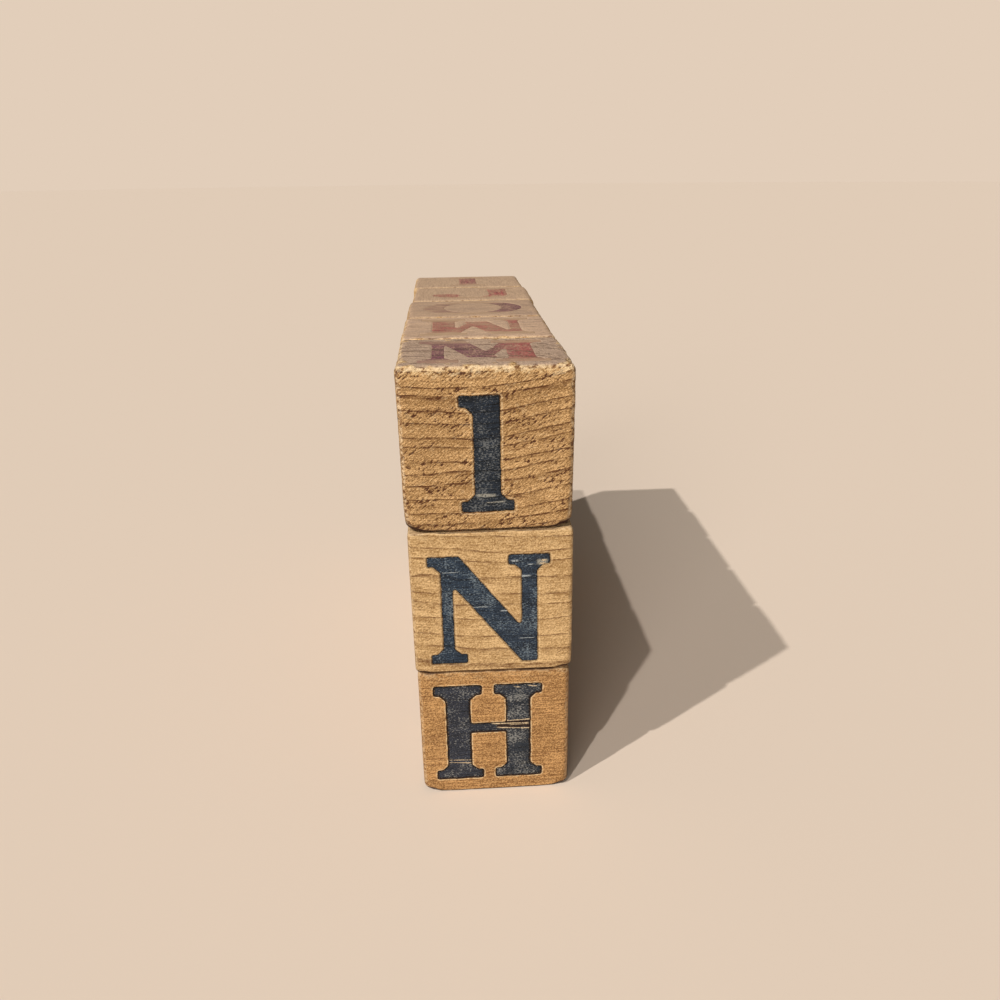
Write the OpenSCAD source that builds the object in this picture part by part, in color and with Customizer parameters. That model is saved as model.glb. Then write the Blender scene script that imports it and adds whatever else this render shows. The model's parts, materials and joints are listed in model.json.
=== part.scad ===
// A stack of old wooden alphabet blocks: three blocks high, one block wide and five blocks deep.
// Every block is a sanded piece of board with one character pressed and printed in each of its six faces.
// Millimetres, +Z up. The front of the stack faces -Y, and the origin is under the middle of the stack.

/* [Block] */
// Width of a block, across the stack
block_w = 51; // [42:1:64]
// Height of a block
block_h = 51; // [42:1:64]
// Thickness of a block, front to back
block_d = 38; // [32:1:51]
// Radius of the sanded edges
edge_r = 2.2; // [1:0.1:3.5]

/* [Stack] */
// Air between one row of blocks and the next
row_gap = 0.6; // [0.3:0.1:0.9]
// Sideways shift of the blocks that stand furthest out of line
stagger = 1; // [0:0.1:3]

/* [Characters] */
// Bare wood beside a character, left and right
side_margin = 6.2; // [4.5:0.1:7]
// Bare wood above and below a character on the faces as tall as a block
end_margin = 5.6; // [4.5:0.1:7]
// Bare wood above and below a character on the top and bottom faces
flat_margin = 4.2; // [3.5:0.1:6]
// Width of a heavy upright stroke
stem_w = 8.2; // [5:0.1:8.8]
// Width of a light stroke
hair_w = 4; // [2.5:0.1:4.8]
// Thickness of the slabs across the ends of the strokes
slab_t = 3.9; // [2:0.1:4.2]
// Length of a slab beyond its stroke
serif = 4; // [3:0.1:4.4]
// Size of the bracket between a slab and its stroke
bracket = 2; // [0.6:0.1:2.6]
// Height of a crossbar above the middle of its letter
bar_rise = 2.1; // [0:0.1:3]
// Height of the numerals, which are shorter than the letters
numeral_h = 36.5; // [30:0.5:38]

/* [Print] */
// How far the characters that are printed furthest off centre lie from the middle of their face
print_drift = 2.5; // [0:0.1:2.7]
// Depth that a character is pressed into the wood
press_depth = 0.4; // [0.3:0.05:0.8]
// Thickness of the ink that lies on the floor of a pressed character
ink_t = 0.15; // [0.1:0.05:0.25]

/* [Hidden] */
// The levels from the floor up, and the number of rows from the front to the back
level_names = ["bottom", "middle", "top"];
row_count = 5;

// How far each block stands out of line, as a share of the largest shift.
// There is a line for each level, from the front row to the back.
shift_shares = [
    [0.7, 1, 0.5, 0.8, 0.4],
    [0.15, -0.3, 0.1, -0.5, -0.1],
    [-0.7, -1, -0.85, 0.1, -0.65]];

// How far the characters of each block lie off the middle of their upright faces, across and up, as
// shares of the largest drift. There is a line for each level, from the front row to the back.
drift_shares = [
    [[-0.9, 0.05], [0.2, -0.4], [-0.3, 0.1], [0.4, 0.3], [0.1, -0.5]],
    [[-0.35, -1], [0.3, 0.2], [-0.2, -0.3], [0, 0.4], [-0.4, 0.1]],
    [[-0.05, -0.5], [-0.3, 0.3], [0.2, -0.2], [-0.1, -0.4], [0.3, 0]]];

// The faces of a block, in the order in which their characters are listed, and the two at the sides
face_names = ["front", "back", "left", "right", "top", "bottom"];
side_faces = ["left", "right"];

// The characters of each block. A small letter stands for the same character turned upside down.
block_faces = [
    ["HX7LTN", "ZFATLE", "TH1NXF", "EUL7ZX", "FTHX1L"],
    ["NLXTEZ", "FZ4HNT", "LAIF7U", "XTOZHL", "HNE4FX"],
    ["1ENZMH", "TNFXmL", "UHZ4OT", "LXNTJF", "4FTLIX"]];

// A straight angle turns a small letter, and case_step is the distance between the two alphabets
half_turn = 180;
quarter_turn = 90;
full_turn = 360;
case_step = ord("a") - ord("A");

// A bowl is drawn with this many sides
bowl_sides = 32;

// Cuts run this far past the face they start from
overrun = 1;

row_pitch = block_d + row_gap;
stack_d = row_count * block_d + (row_count - 1) * row_gap;

// The width of the characters on the front and back faces
front_w = block_w - 2 * side_margin;

function block_x(level, row) = stagger * shift_shares[level][row];
function block_y(row) = -stack_d / 2 + block_d / 2 + row * row_pitch;
function block_z(level) = block_h * (level + 0.5);
function drift_x(level, row) = print_drift * drift_shares[level][row][0];
function drift_z(level, row) = print_drift * drift_shares[level][row][1];
function face_char(level, row, face) = block_faces[level][row][search([face], face_names)[0]];

// The left and right faces are dark on every other block, and red on the rest
function dark_sides(level, row) = (level + row) % 2 == 0;
function dark_faces(level, row) = concat(["front", "back"], dark_sides(level, row) ? side_faces : []);
function red_faces(level, row) = concat(["top", "bottom"], dark_sides(level, row) ? [] : side_faces);

function block_name(level, row) = str(level_names[level], "_block_", row + 1);
function dark_name(level, row) = str(block_name(level, row), "_dark_print");
function red_name(level, row) = str(block_name(level, row), "_red_print");

levels = [for (level = [0 : len(level_names) - 1]) level];
rows = [for (row = [0 : row_count - 1]) row];

// Strokes of the characters. They get narrower with the box that a character is drawn in: $stem is the
// width of a heavy stroke, $hair of a light one, $reach the length of a slab beyond its stroke, and
// $bracket the size of the bracket between the two.

// A bar from one corner to the opposite one
module bar(x0, x1, y0, y1) {
    translate([x0, y0])
        square([x1 - x0, y1 - y0]);
}

// The width, measured level, of a stroke of a given thickness that leans by run over a height of rise
function level_width(thick, run, rise) = thick * norm([run, rise]) / rise;

// A leaning stroke whose ends are level
module slant(x0, x1, y0, y1, thick) {
    half = level_width(thick, x1 - x0, y1 - y0) / 2;
    polygon([
        [x0 - half, y0], [x0 + half, y0],
        [x1 + half, y1], [x1 - half, y1]]);
}

// A bracketed slab under a stroke that stands at x on the foot line
module foot(x, wide, h) {
    edge = wide / 2;
    translate([x, -h / 2])
        polygon([
            [-edge - $reach, 0], [edge + $reach, 0],
            [edge + $reach, slab_t], [edge + $bracket, slab_t],
            [edge, slab_t + $bracket], [-edge, slab_t + $bracket],
            [-edge - $bracket, slab_t], [-edge - $reach, slab_t]]);
}

module head(x, wide, h) {
    mirror([0, 1])
        foot(x, wide, h);
}

module stem(x, wide, h) {
    bar(x - wide / 2, x + wide / 2, -h / 2, h / 2);
}

module column(x, wide, h) {
    stem(x, wide, h);
    foot(x, wide, h);
    head(x, wide, h);
}

// A level arm on the foot line from a stem at x to x1, with an upright tick at its free end
module arm(x, x1, h, tick) {
    bar(x, x1, -h / 2, -h / 2 + slab_t);
    bar(x1 - slab_t, x1, -h / 2, -h / 2 + tick);
}

// A level bar a little above the middle of a letter
module crossbar(x0, x1) {
    bar(x0, x1, bar_rise - slab_t / 2, bar_rise + slab_t / 2);
}

// A short level arm at the height of the crossbar, with a small tick
module middle_arm(x, x1) {
    crossbar(x, x1);
    bar(x1 - slab_t, x1, bar_rise - slab_t, bar_rise + slab_t);
}

// Half a flag: a slab on the head line to the left of a stem at x, with its bracket
module flag(x, wide, h) {
    edge = x - wide / 2;
    bar(edge - $reach, x, h / 2 - slab_t, h / 2);
    polygon([
        [edge - $bracket, h / 2 - slab_t], [edge, h / 2 - slab_t - $bracket], [x, h / 2 - slab_t]]);
}

// Points along an ellipse from one angle to another
function arc(rx, ry, from, to) = [
    for (i = [0 : bowl_sides * abs(to - from) / full_turn])
        let (a = from + (to > from ? i : -i) * full_turn / bowl_sides)
        [rx * cos(a), ry * sin(a)]];

module bowl(rx, ry) {
    polygon(arc(rx, ry, 0, full_turn * (1 - 1 / bowl_sides)));
}

// A round bottom on the foot line, rx to each side and ry deep, whose right arm rises to the head line,
// and whose left arm does so too if both is true
module cup(rx, ry, h, both) {
    rise = h - ry;
    in_x = rx - $stem;
    translate([0, ry - h / 2])
        polygon(concat(
            both ? [[-rx, rise]] : [],
            arc(rx, ry, half_turn, full_turn),
            [[rx, rise], [in_x, rise]],
            arc(in_x, ry - slab_t, full_turn, half_turn),
            both ? [[-in_x, rise]] : []));
}

// Characters, each centred in a box w wide and h high

module char_1(w, h) {
    stem(0, $stem, h);
    foot(0, $stem, h);
    flag(0, $stem, h);
}

module char_4(w, h) {
    x = $stem / 2;
    y = -h / 2 + 2 * $stem;
    tip = -w / 3;
    stem(x, $stem, h);
    foot(x, $stem, h);
    bar(tip, x + $stem, y - slab_t, y);
    polygon([
        [tip, y], [tip + $hair, y], [x, h / 2 - $hair], [x, h / 2]]);
}

module char_7(w, h) {
    half = w / 3;
    bar(-half, half, h / 2 - $hair, h / 2);
    bar(-half, slab_t - half, h / 2 - $stem, h / 2);
    slant(-$stem / 2, half - $stem / 2, -h / 2, h / 2, $stem);
}

module char_A(w, h) {
    x = w / 2 - $reach - $stem / 2;
    y = -h / 6;
    slant(-x, 0, -h / 2, h / 2, $hair);
    slant(x, $hair / 2, -h / 2, h / 2, $stem);
    bar(-x * 2 / 3, x * 2 / 3, y - slab_t, y);
    foot(-x, $hair, h);
    foot(x, $stem, h);
}

module char_E(w, h) {
    x = $reach + $stem / 2 - w / 2;
    column(x, $stem, h);
    middle_arm(x, w / 6);
    arm(x, w / 2, h, $stem);
    mirror([0, 1])
        arm(x, w / 2, h, $stem);
}

module char_F(w, h) {
    x = $reach + $stem / 2 - w / 2;
    column(x, $stem, h);
    middle_arm(x, w / 6);
    mirror([0, 1])
        arm(x, w / 2, h, $stem);
}

// The two columns stand a little closer together than the box allows
module char_H(w, h) {
    x = w / 2 - $reach - ($stem + $bracket) / 2;
    column(-x, $stem, h);
    column(x, $stem, h);
    crossbar(-x, x);
}

module char_I(w, h) {
    column(0, $stem, h);
}

// The hook ends in a round drop
module char_J(w, h) {
    x = w / 2 - $reach - $stem / 2;
    ry = h / 3;
    cup(x + $stem / 2, ry, h, both = false);
    head(x, $stem, h);
    translate([-x, ry - h / 2])
        bowl($stem / 2 + $bracket, $stem / 2);
}

module char_L(w, h) {
    x = $reach + $stem / 2 - w / 2;
    column(x, $stem, h);
    arm(x, w / 2, h, $stem + $bracket);
}

// The light stroke stands on the left, and the two slants meet above the gap between the feet
module char_M(w, h) {
    light = w / 2 - $reach - $hair / 2;
    heavy = w / 2 - $reach - $stem / 2;
    low = slab_t + $bracket - h / 2;
    column(-light, $hair, h);
    column(heavy, $stem, h);
    slant(0, $stem / 2 - light, low, h / 2, $stem);
    slant(0, heavy - $hair / 2, low, h / 2, $hair);
}

// The right upright is a little wider than a light stroke. The heavy slant runs from the end of the flag
// to the foot line, where the right upright cuts it off.
module char_N(w, h) {
    wide = $hair + $stem / 6;
    left = w / 2 - $reach - $hair / 2;
    right = w / 2 - $reach - wide / 2;
    run = level_width($stem, w / 2 + right - wide / 2, h);
    stem(-left, $hair, h);
    foot(-left, $hair, h);
    flag(-left, $hair, h);
    stem(right, wide, h);
    head(right, wide, h);
    intersection() {
        slant(right - wide / 2 + run / 2, run / 2 - w / 2, -h / 2, h / 2, $stem);
        bar(-w / 2, right + wide / 2, -h / 2, h / 2);
    }
}

module char_O(w, h) {
    difference() {
        bowl(w / 2, h / 2);
        bowl(w / 2 - $stem, h / 2 - slab_t);
    }
}

module char_T(w, h) {
    stem(0, $stem, h);
    foot(0, $stem, h);
    mirror([0, 1])
        arm(0, w / 2, h, $stem);
    rotate(half_turn)
        arm(0, w / 2, h, $stem);
}

module char_U(w, h) {
    x = w / 2 - $reach - $stem / 2;
    cup(x + $stem / 2, h / 3, h, both = true);
    head(-x, $stem, h);
    head(x, $stem, h);
}

module char_X(w, h) {
    heavy = w / 2 - $reach - $stem / 2;
    light = w / 2 - $reach - $hair / 2;
    slant(heavy, -heavy, -h / 2, h / 2, $stem);
    slant(-light, light, -h / 2, h / 2, $hair);
    foot(heavy, $stem, h);
    head(-heavy, $stem, h);
    foot(-light, $hair, h);
    head(light, $hair, h);
}

module char_Z(w, h) {
    half = w / 2 - $reach;
    bar(-half, half, -h / 2, slab_t - h / 2);
    bar(-half, half, h / 2 - slab_t, h / 2);
    bar(half - slab_t, half, -h / 2, $stem - h / 2);
    bar(-half, slab_t - half, h / 2 - $stem, h / 2);
    slant($stem / 2 - half, half - $stem / 2, -h / 2, h / 2, $stem);
}

// One character by its name, in a box w wide and h high
module upright_char(name, w, h) {
    narrow = w / front_w;
    $stem = stem_w * narrow;
    $hair = hair_w * narrow;
    $reach = serif * narrow;
    $bracket = bracket * narrow;
    if (name == "1") char_1(w, min(h, numeral_h));
    if (name == "4") char_4(w, min(h, numeral_h));
    if (name == "7") char_7(w, min(h, numeral_h));
    if (name == "A") char_A(w, h);
    if (name == "E") char_E(w, h);
    if (name == "F") char_F(w, h);
    if (name == "H") char_H(w, h);
    if (name == "I") char_I(w, h);
    if (name == "J") char_J(w, h);
    if (name == "L") char_L(w, h);
    if (name == "M") char_M(w, h);
    if (name == "N") char_N(w, h);
    if (name == "O") char_O(w, h);
    if (name == "T") char_T(w, h);
    if (name == "U") char_U(w, h);
    if (name == "X") char_X(w, h);
    if (name == "Z") char_Z(w, h);
}

module printed_char(name, w, h) {
    turned = ord(name) >= ord("a");
    rotate(turned ? half_turn : 0)
        upright_char(turned ? chr(ord(name) - case_step) : name, w, h);
}

// Blocks

// The size of the box that holds the character on a face: the left and right faces are as wide as the
// block is thick, and the top and bottom faces are as high
function is_side(face) = face == "left" || face == "right";
function is_flat(face) = face == "top" || face == "bottom";
function face_w(face) = is_side(face) ? block_d - 2 * flat_margin : front_w;
function face_h(face) = is_flat(face) ? block_d - 2 * flat_margin : block_h - 2 * end_margin;

// Carries a drawing to a face of a block that is centred on the origin, with +Z out of that face
module on_face(face) {
    if (face == "front") rotate([quarter_turn, 0, 0]) translate([0, 0, block_d / 2]) children();
    if (face == "back") rotate([quarter_turn, 0, half_turn]) translate([0, 0, block_d / 2]) children();
    if (face == "left") rotate([quarter_turn, 0, -quarter_turn]) translate([0, 0, block_w / 2]) children();
    if (face == "right") rotate([quarter_turn, 0, quarter_turn]) translate([0, 0, block_w / 2]) children();
    if (face == "top") translate([0, 0, block_h / 2]) children();
    if (face == "bottom") rotate([half_turn, 0, 0]) translate([0, 0, block_h / 2]) children();
}

// A plate with round corners, centred on the origin
module round_plate(w, h, t) {
    linear_extrude(height = t, center = true) {
        square([w - 2 * edge_r, h], center = true);
        square([w, h - 2 * edge_r], center = true);
        for (x = [-1, 1], y = [-1, 1])
            translate([x * (w / 2 - edge_r), y * (h / 2 - edge_r)])
                circle(r = edge_r, $fn = bowl_sides);
    }
}

// A block with every edge rounded, which is what three crossing plates have in common
module sanded_block() {
    intersection() {
        round_plate(block_w, block_d, block_h);
        rotate([quarter_turn, 0, 0])
            round_plate(block_w, block_h, block_d);
        rotate([quarter_turn, 0, quarter_turn])
            round_plate(block_d, block_h, block_w);
    }
}

module place(level, row) {
    translate([block_x(level, row), block_y(row), block_z(level)])
        children();
}

// The character of one face, as far into the face as it is pressed, and t thick. Only the characters of
// the upright faces lie off the middle, those of the narrower faces by less.
module pressed_char(level, row, face, t) {
    narrow = face_w(face) / front_w;
    drift = is_flat(face) ? [0, 0] : [drift_x(level, row) * narrow, drift_z(level, row)];
    on_face(face)
        translate([drift.x, drift.y, -press_depth])
            linear_extrude(height = t)
                printed_char(face_char(level, row, face), face_w(face), face_h(face));
}

// A block with the hollows of its six characters
module block(level, row) {
    color("burlywood")
        place(level, row)
            difference() {
                sanded_block();
                for (face = face_names)
                    pressed_char(level, row, face, press_depth + overrun);
            }
}

// The ink on the floors of some of a block's characters
module print(level, row, faces) {
    place(level, row)
        for (face = faces)
            pressed_char(level, row, face, ink_t);
}

module dark_print(level, row) {
    color("darkslategray")
        print(level, row, dark_faces(level, row));
}

module red_print(level, row) {
    color("brown")
        print(level, row, red_faces(level, row));
}

for (level = levels, row = rows) {
    block(level, row);
    dark_print(level, row);
    red_print(level, row);
}
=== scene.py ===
import itertools
import json
import math
import random
from collections import Counter

import bpy
import numpy as np
from mathutils import Matrix, Vector
from mathutils.geometry import delaunay_2d_cdt


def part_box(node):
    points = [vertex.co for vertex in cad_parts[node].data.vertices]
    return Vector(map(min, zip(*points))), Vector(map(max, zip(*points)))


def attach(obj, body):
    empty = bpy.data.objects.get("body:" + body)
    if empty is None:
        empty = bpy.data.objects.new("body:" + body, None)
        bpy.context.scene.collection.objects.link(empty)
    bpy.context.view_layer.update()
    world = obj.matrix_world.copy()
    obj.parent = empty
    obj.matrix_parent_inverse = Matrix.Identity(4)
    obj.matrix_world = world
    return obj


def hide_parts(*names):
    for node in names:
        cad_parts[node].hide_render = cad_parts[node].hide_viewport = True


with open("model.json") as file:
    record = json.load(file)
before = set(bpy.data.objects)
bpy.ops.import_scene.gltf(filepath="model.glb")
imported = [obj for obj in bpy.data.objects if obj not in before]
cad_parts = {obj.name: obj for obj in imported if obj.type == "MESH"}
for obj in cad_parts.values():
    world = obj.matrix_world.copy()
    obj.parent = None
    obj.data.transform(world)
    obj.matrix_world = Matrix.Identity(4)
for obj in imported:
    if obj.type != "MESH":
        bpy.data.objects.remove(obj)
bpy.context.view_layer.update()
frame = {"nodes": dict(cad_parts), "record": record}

# The dressed blocks are worked out in millimetres and made in metres
MM = 0.001

# The camera, fitted to the corners of the front blocks and the outline of the top row
PHOTO_SIDE_PX = 1000
FOCAL_PX = 764.9
CAMERA_AT = (-10.3, -305.4, 202.7)
CAMERA_PITCH = 23.39
CAMERA_YAW = -3.64
CAMERA_ROLL = -0.58
SENSOR = 36

# The band along the head of a block that is knocked most, and the band of end grain on its sides
HEAD_BAND = 5
END_BAND = 2

# Distances from the border of a face at which a rounded edge gets a row of points, the steps
# between points on the rest of a face, and how near the border a point counts as lying on it
EDGE_ROWS = (0.0, 0.3, 0.7, 1.15, 1.65, 2.25, 3.0, 3.9)
FINE_STEP = 0.6
PLAIN_STEP = 1.1
ON_BORDER = 0.01

# The rounding of the edges. It is tighter by a share along the front and back edges that blocks
# rest on
MIN_RADIUS = 0.5
MIN_PLAIN_RADIUS = 1.1
MAX_RADIUS = 4.6
CRISP = 0.65

# The slant of the rough saw's marks
SAW_SLANT = math.radians(38)
SAW_TURN = np.array(Matrix.Rotation(SAW_SLANT, 3, "Y"))

# How deep a character is pressed, how wide its sloping wall is, and where the ink lies
PRESS_DEPTH = 0.3
PRESS_WALL = 0.22
INK_TOP = 0.13
INK_BED = 0.33
INK_SLOPE = 0.14
INK_EDGE = 0.45
INK_INSET = 0.6 * PRESS_WALL

# The ink films of the CAD model: how squarely a triangle faces outwards, and how deep it may lie
FACING = 0.99
FILM_DEPTH = 1

# The outline of a character: when a turn counts as none, the steps along it, its fillets and its
# unevenness
STRAIGHT_TURN = 0.002
OUTLINE_STEP = 0.55
OUTLINE_CLEARANCE = 0.4 * OUTLINE_STEP
CONVEX_FILLET = 0.85
CONCAVE_FILLET = 0.8
FILLET_SHARE = 0.48
FILLET_TURN = 0.35
RAGGED = 0.1
MERGED = 1e-5

# How many points are measured at a time, to spare memory
BATCH = 1000

# How finely the places of points are compared where faces meet, in steps to a millimetre
WELD_STEPS = 1000

# The free border of each face's cell on the flat map, and the scale and place of the spot in the
# cell for what no one sees of a film
CELL_MARGIN = 0.02
SPOT_SCALE = 0.004
SPOT_AT = 0.99

# Outward normal, direction across and direction up of each face of a block
FACES = {
    "front": ((0, -1, 0), (1, 0, 0), (0, 0, 1)),
    "back": ((0, 1, 0), (-1, 0, 0), (0, 0, 1)),
    "left": ((-1, 0, 0), (0, -1, 0), (0, 0, 1)),
    "right": ((1, 0, 0), (0, 1, 0), (0, 0, 1)),
    "top": ((0, 0, 1), (1, 0, 0), (0, 1, 0)),
    "bottom": ((0, 0, -1), (1, 0, 0), (0, -1, 0)),
}


class Noise:
    """Smooth random values from -1 to 1 in space."""

    SIDE = 32

    def __init__(self, seed):
        self.table = np.random.default_rng(seed).uniform(-1, 1, (self.SIDE,) * 3)

    def __call__(self, points, size):
        place = np.asarray(points) / size
        cell = np.floor(place).astype(int)
        share = place - cell
        share = share * share * (3 - 2 * share)
        total = 0
        for corner in itertools.product((0, 1), repeat=3):
            weight = np.prod(np.where(corner, share, 1 - share), axis=-1)
            i, j, k = ((cell + corner) % self.SIDE).T
            total = total + weight * self.table[i, j, k]
        return total


def smooth_step(value, low, high):
    share = np.clip((value - low) / (high - low), 0, 1)
    return share * share * (3 - 2 * share)


# Blocks: their shape, their timber and how they have worn

def drawn_style(name):
    """What differs from block to block, drawn at random but the same in every run."""
    draw = random.Random(name)
    row = int(name[-1])
    return {
        "seed": draw.randrange(10000),
        "along": "y" if row in (4, 5) and draw.random() < 0.8 else "x",
        "pith": (draw.choice((-1, 1)) * draw.uniform(15, 80), -draw.uniform(50, 160)),
        "spacing": draw.uniform(1.8, 4.2),
        "lines": draw.uniform(0.45, 0.9),
        "bend": draw.uniform(-0.1, 0.1),
        "bend_from": draw.uniform(-10, 10),
        "tilt": draw.uniform(-0.04, 0.04),
        "radius": draw.uniform(1.9, 2.5),
        "weather": draw.uniform(0.15, 0.5),
        "grey": 1.0 if name.startswith("top") else 0.25,
        "tone": draw.uniform(0.2, 0.9),
        "shade": draw.uniform(0.9, 1.04),
        "dents": draw.uniform(0.06, 0.14),
        # Strengths of the painted shade on a character's pressed rim and of the painted highlight
        # just outside it
        "rim": draw.uniform(0.2, 0.6),
        "halo_highlight": draw.uniform(0.1, 0.4),
        "fade": draw.uniform(0.0, 0.15),
        "top_fade": draw.uniform(0.3, 0.6),
        "fade_slope": 0.0,
        "gap": draw.uniform(0.0, 0.2),
        "trims": {},
        "rounded": {},
        "purple": (draw.uniform(-20, 20), draw.choice((-1, 1)) * draw.uniform(6, 30)),
    }


# Trims move one corner of a block inwards along X, Y and Z, or outwards where they are below 0.
# Rounded corners have a larger radius. A corner is named by its side, its front or back, and its
# foot or head
STYLES = {
    "top_block_1": {
        "along": "x", "pith": (60, -150), "spacing": 3.4, "lines": 1.0, "bend": 0.19,
        "bend_from": 3, "tilt": -0.02, "radius": 2.0, "weather": 1.0, "tone": 0.5, "shade": 0.96,
        "dents": 0.16, "rim": 0.1, "halo_highlight": 0.6, "fade": 0.0, "gap": 0.0,
        "trims": {"rff": (-0.5, 0.0, 0.25), "lff": (0.3, 0.0, 0.0), "rfh": (-0.3, 0.0, 0.3)},
        "rounded": {"lff": 2.0, "rff": 1.6},
        "purple": (6, -7), "top_fade": 0.29, "fade_slope": 0.003,
    },
    "middle_block_1": {
        "along": "x", "pith": (30, -70), "spacing": 4.2, "lines": 0.65, "bend": 0.12,
        "bend_from": 4, "tilt": -0.1, "radius": 1.4, "weather": 0.2, "tone": 0.1, "shade": 0.99,
        "dents": 0.08, "rim": 0.35, "halo_highlight": 0.3, "fade": 0.0, "gap": 0.05,
        "trims": {"rfh": (0.1, 0.0, 0.2), "rff": (-0.8, 0.0, -0.5), "lfh": (0.0, 0.0, 0.3)},
        "rounded": {"rff": 0.9},
    },
    "bottom_block_1": {
        "along": "x", "pith": (-45, -190), "spacing": 1.7, "lines": 0.35, "bend": 0.0,
        "bend_from": 0, "tilt": 0.0, "radius": 1.9, "weather": 0.25, "tone": 0.85, "shade": 0.95,
        "dents": 0.07, "rim": 1.0, "halo_highlight": 0.75, "fade": 0.0, "gap": 0.12,
        "trims": {"rfh": (0.4, 0.1, 0.8), "rff": (-0.15, 0.0, 0.0), "lfh": (0.0, 0.0, 0.3)},
        "rounded": {"rfh": 1.2, "lff": 1.3, "rff": 0.8},
    },
    "top_block_2": {
        "along": "x", "top_fade": 0.64, "purple": (60, 10), "weather": 0.4, "radius": 2.3,
        "shade": 1.08,
    },
    "top_block_3": {
        "along": "x", "top_fade": 0.56, "fade_slope": -0.014, "purple": (-60, 10), "weather": 0.25,
    },
    "top_block_4": {
        "along": "y", "top_fade": 0.6, "purple": (60, 10), "weather": 0.1, "spacing": 3.0,
        "lines": 0.15,
    },
    "top_block_5": {
        "along": "y", "top_fade": 0.5, "purple": (0, 30), "weather": 0.1, "spacing": 3.4,
        "lines": 0.15,
    },
}


def corner_signs(corner):
    """The side, depth and height of a corner named like rfh, as signs of X, Y and Z."""
    side, depth, level = corner
    return (1 if side == "r" else -1, -1 if depth == "f" else 1, 1 if level == "h" else -1)


class Block:
    """One wooden block: its place in the stack, its worn surface and its grain."""

    def __init__(self, name, body):
        low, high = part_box(name)
        self.name = name
        self.body = body
        self.centre = np.array(low + high) / 2 / MM
        self.half = np.array(high - low) / 2 / MM
        self.style = {**drawn_style(name), **STYLES.get(name, {})}
        self.noise = Noise(self.style["seed"])
        self.fine = name.endswith("_1")
        self.top = name.startswith("top")
        self.lengthwise, self.crosswise = (0, 1) if self.style["along"] == "x" else (1, 0)

    def edge_radius(self, cube):
        """The radius of the rounding near a point, which wanders along every edge."""
        style = self.style
        radius = style["radius"] + 0.55 * self.noise(cube, 11) + 0.3 * self.noise(cube + 50, 4)
        radius = radius + style["weather"] * 0.9 * np.clip(self.noise(cube + 90, 2.6), 0, 1)
        resting = -cube[:, 2] if self.top else np.abs(cube[:, 2])
        crisp = smooth_step(resting, self.half[2] - 5, self.half[2] - 2.5)
        crisp = crisp * (1 - smooth_step(np.abs(cube[:, 0]), self.half[0] - 6, self.half[0] - 2.5))
        radius = np.maximum(radius, MIN_PLAIN_RADIUS) * (1 - CRISP * crisp)
        for corner, extra in style["rounded"].items():
            signs = np.array(corner_signs(corner))
            away = np.linalg.norm(cube - signs * self.half, axis=1)
            radius = radius + extra * np.exp(-(away / 6) ** 2)
        return np.clip(radius, MIN_RADIUS, MAX_RADIUS)[:, None]

    def dents(self, cube):
        """How far the skin has sunk: broad hollows, small knocks and the marks of a rough saw."""
        style = self.style
        broad = 0.5 + 0.5 * self.noise(cube + 30, 14)
        knocks = np.clip(self.noise(cube + 70, (3.2, 2.2, 2.2)) - 0.45, 0, 1)
        marks = np.clip(self.noise(cube @ SAW_TURN + 110, (4, 1.1, 1.1)) - 0.25, 0, 1)
        return style["dents"] * (broad + 1.4 * knocks) + 0.32 * style["weather"] ** 2 * marks

    def trim(self, point):
        """The shift that makes a block a little out of square."""
        shift = np.zeros_like(point)
        for corner, amounts in self.style["trims"].items():
            signs = np.array(corner_signs(corner))
            weight = np.prod(np.clip(0.5 + 0.5 * signs * point / self.half, 0, 1), axis=1)
            shift -= weight[:, None] * signs * np.array(amounts)
        return shift

    def cube_point(self, face, across, up):
        """A point of the sharp-edged block, from its place on a face."""
        normal, right, rise = (np.array(v, float) for v in FACES[face])
        reach = abs(normal @ self.half)
        return normal * reach + np.outer(across, right) + np.outer(up, rise)

    def surface(self, cube, depth=0.0):
        """Where a point of the sharp-edged block lies on the worn one, and the normal there."""
        radius = self.edge_radius(cube)
        inner = np.clip(cube, -(self.half - radius), self.half - radius)
        out = cube - inner
        normal = out / np.linalg.norm(out, axis=1, keepdims=True)
        sunk = self.dents(cube) + depth
        point = inner + radius * normal - normal * np.reshape(sunk, (-1, 1))
        return point + self.trim(point), normal

    def face_size(self, face):
        normal, right, rise = (np.array(v, float) for v in FACES[face])
        return abs(right @ self.half), abs(rise @ self.half)

    def grain(self, point):
        """Millimetres along the fibres, away from the pith and around it."""
        style = self.style
        along = point[:, self.lengthwise]
        pith_side, pith_up = style["pith"]
        side, up = point[:, self.crosswise] - pith_side, point[:, 2] - pith_up
        reach = np.hypot(side, up)
        bent = np.logaddexp(0, (along - style["bend_from"]) / 4) * 4
        reach = reach - style["bend"] * bent - style["tilt"] * along
        broad, narrow = self.noise(point + 20, (24, 24, 12)), self.noise(point + 40, (9, 9, 5))
        reach = reach + 0.5 * broad + 0.2 * narrow
        across = np.hypot(pith_side, pith_up) * np.arctan2(side, up)
        return np.stack([along + style["seed"], reach, across], axis=1)

    def timber(self, count):
        """The colour of the board, the strength of its lines and the width of a year's growth."""
        return np.tile([self.style["tone"], self.style["lines"], self.style["spacing"]], (count, 1))


# Outlines of the characters, read from the ink films of the CAD model

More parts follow.
